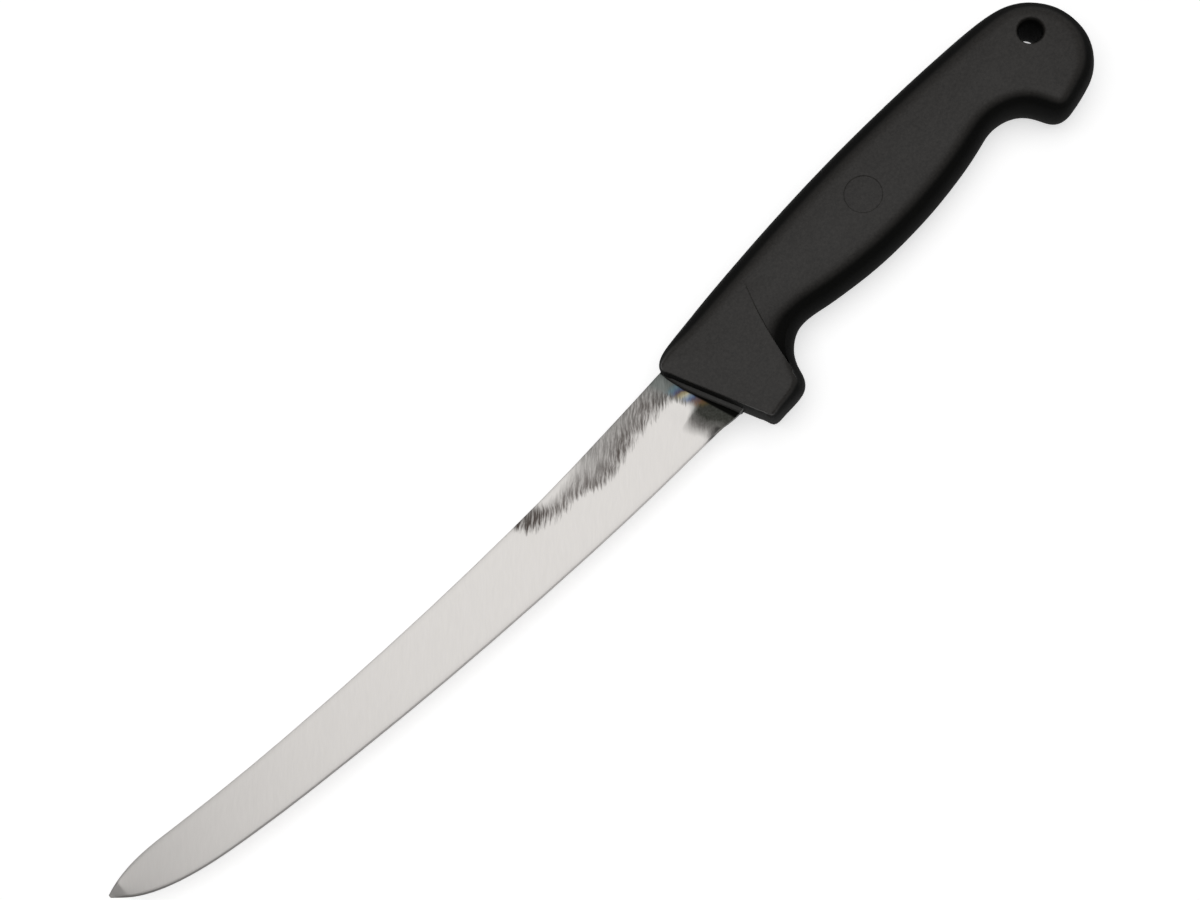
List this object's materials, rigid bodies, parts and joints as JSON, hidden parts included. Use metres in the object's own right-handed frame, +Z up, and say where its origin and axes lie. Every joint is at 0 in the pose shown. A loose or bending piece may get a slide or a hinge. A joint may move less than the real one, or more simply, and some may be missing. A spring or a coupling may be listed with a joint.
{
  "type": "fillet knife",
  "caption": "Fillet knife with a long upswept blade, a moulded handle with finger guard and hooked butt, and a hanging hole.",
  "frame": {"origin": "centre of the bounding box's bottom face: the knife lies on its flank", "axes": "+X from the blade's tip towards the handle's butt, +Y towards the spine, +Z up through the flanks"},
  "size_m": [0.3388, 0.0406, 0.0166],
  "materials": {
    "blade_steel": "satin ground carbon steel with dark forge scale by the handle",
    "core_plastic": "smooth moulded black polypropylene",
    "handle_plastic": "fine-grained moulded black polypropylene"
  },
  "bodies": {
    "root": {"blade": "blade_steel", "core": "core_plastic", "handle": "handle_plastic"}
  },
  "joints": []
}
